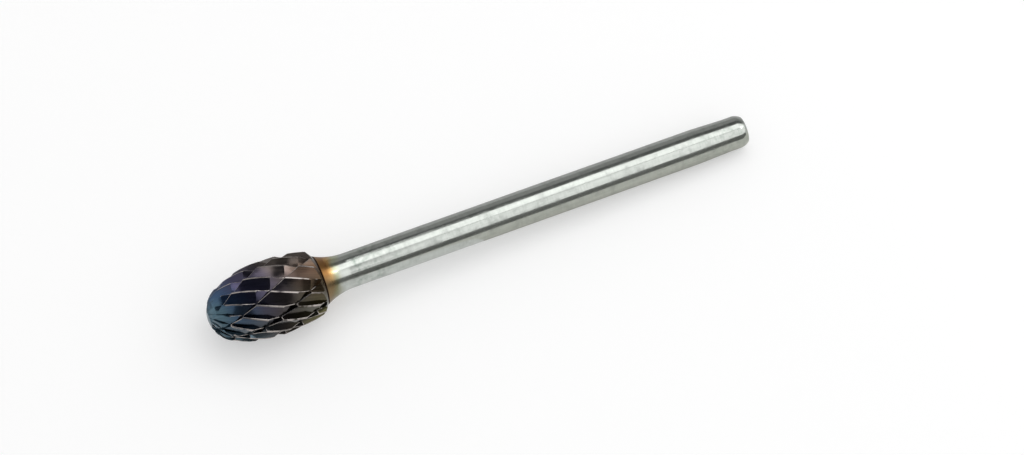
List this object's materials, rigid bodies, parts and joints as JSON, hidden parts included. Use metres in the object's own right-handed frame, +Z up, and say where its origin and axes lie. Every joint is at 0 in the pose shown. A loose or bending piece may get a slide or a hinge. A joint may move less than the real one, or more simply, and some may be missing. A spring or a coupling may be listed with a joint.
{
  "type": "carbide burr",
  "caption": "Oval double-cut carbide burr on a straight steel shank, for grinding and deburring in a small collet.",
  "frame": {"origin": "on the ground under the middle of the burr's box, as it lies on its side at rest", "axes": "+X runs along the burr from the head to the shank's end, +Z up; the burr's own axis drops about 2.4 degrees from the head to the shank's end, because the head is thicker"},
  "size_m": [0.0484, 0.0064, 0.0064],
  "materials": {
    "carbide": "ground tungsten carbide, heat tinted blue, violet and brown",
    "braze": "thin silver-brass brazing film",
    "shank_steel": "ground hardened steel, straw tint at the neck"
  },
  "bodies": {
    "root": {"carbide_head": "carbide", "braze_film": "braze", "steel_shank": "shank_steel"}
  },
  "joints": []
}
